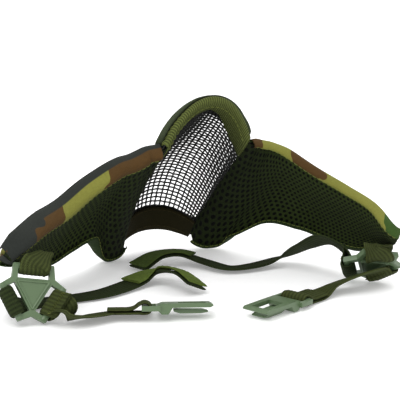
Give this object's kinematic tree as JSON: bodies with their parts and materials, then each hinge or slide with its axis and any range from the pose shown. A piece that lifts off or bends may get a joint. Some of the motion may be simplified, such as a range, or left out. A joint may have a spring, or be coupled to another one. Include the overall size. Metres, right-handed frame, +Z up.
{
  "type": "half-face mask",
  "caption": "Camouflage half-face mask: a black steel mesh face between padded cheek wings, with webbing straps, three-way buckles, a hook-and-loop head strap and snap clips for helmet rails.",
  "frame": {"origin": "on the resting surface, under the middle of the mask with its buckles (the straps left out)", "axes": "+Z up from the resting surface; the front of the mask faces -Y and its open inside faces +Y; the wearer's left cheek is at +X"},
  "size_m": [0.2352, 0.1717, 0.1109],
  "materials": {
    "steel": "satin black",
    "chin": "woven",
    "binding": "ribbed tape",
    "cover": "camouflage print, woven",
    "foam": "soft foam",
    "lining": "spacer mesh",
    "rim": "camouflage print, woven",
    "hem": "woven tape",
    "webbing": "ribbed webbing",
    "plastic": "moulded",
    "patch": "hook and loop"
  },
  "bodies": {
    "mask": {"steel_mesh_face": "steel", "chin_strip": "chin", "nose_binding": "binding", "nose_cover": "cover", "left_cheek_cover": "cover", "left_cheek_foam": "foam", "left_cheek_lining": "lining", "left_rim_binding": "rim", "left_lower_binding": "hem", "left_webbing_loop": "webbing", "right_cheek_cover": "cover", "right_cheek_foam": "foam", "right_cheek_lining": "lining", "right_rim_binding": "rim", "right_lower_binding": "hem", "right_webbing_loop": "webbing"},
    "left buckle": {"left_buckle": "plastic"},
    "left head strap": {"left_head_strap": "webbing", "left_loop_patch": "patch"},
    "left rail strap": {"left_rail_strap": "webbing"},
    "left rail clip": {"left_rail_clip": "plastic"},
    "left clip tongue": {"left_clip_tongue": "plastic"},
    "right buckle": {"right_buckle": "plastic"},
    "right head strap": {"right_head_strap": "webbing", "right_hook_patch": "patch"},
    "right rail strap": {"right_rail_strap": "webbing"},
    "right rail clip": {"right_rail_clip": "plastic"},
    "right clip tongue": {"right_clip_tongue": "plastic"}
  },
  "joints": [
    {"name": "left_buckle_swing", "type": "hinge", "parent": "mask", "child": "left buckle", "pos_m": [0.098, 0.0604, 0.02823], "axis": [-0.9771, -0.1079, -0.1836], "range_deg": [0, 15]},
    {"name": "left_head_strap_swing", "type": "hinge", "parent": "left buckle", "child": "left head strap", "pos_m": [0.1111, 0.07122, 0.01345], "axis": [-0.3951, 0.3725, -0.8397], "range_deg": [0, 35]},
    {"name": "left_rail_strap_swing", "type": "hinge", "parent": "left buckle", "child": "left rail strap", "pos_m": [0.0891, 0.06879, 0.00932], "axis": [0.582, 0.4804, -0.6562], "range_deg": [0, 60]},
    {"name": "left_clip_swing", "type": "hinge", "parent": "left rail strap", "child": "left rail clip", "pos_m": [0.04027, 0.07198, 0.00581], "axis": [0.1524, 0.9624, 0.225], "range_deg": [0, 15]},
    {"name": "left_tongue_flex", "type": "hinge", "parent": "left rail clip", "child": "left clip tongue", "pos_m": [0.02511, 0.0747, 0.00444], "axis": [-0.1524, -0.9624, -0.225], "range_deg": [0, 6], "stiffness_Nm_per_rad": 0.02},
    {"name": "right_buckle_swing", "type": "hinge", "parent": "mask", "child": "right buckle", "pos_m": [-0.10071, 0.04922, 0.02214], "axis": [-0.9859, -0.043, -0.1619], "range_deg": [0, 6]},
    {"name": "right_head_strap_swing", "type": "hinge", "parent": "right buckle", "child": "right head strap", "pos_m": [-0.0869, 0.03512, 0.0113], "axis": [-0.3724, -0.669, -0.6432], "range_deg": [0, 6]},
    {"name": "right_rail_strap_swing", "type": "hinge", "parent": "right buckle", "child": "right rail strap", "pos_m": [-0.10909, 0.03416, 0.00766], "axis": [0.6135, -0.626, -0.4813], "range_deg": [0, 4]},
    {"name": "right_clip_swing", "type": "hinge", "parent": "right rail strap", "child": "right rail clip", "pos_m": [-0.0461, 0.0658, 0.0037], "axis": [0.6018, -0.7986, 0], "range_deg": [0, 15]},
    {"name": "right_tongue_flex", "type": "hinge", "parent": "right rail clip", "child": "right clip tongue", "pos_m": [-0.0338, 0.07507, 0.0023], "axis": [-0.6018, 0.7986, 0], "range_deg": [0, 5], "stiffness_Nm_per_rad": 0.02}
  ]
}
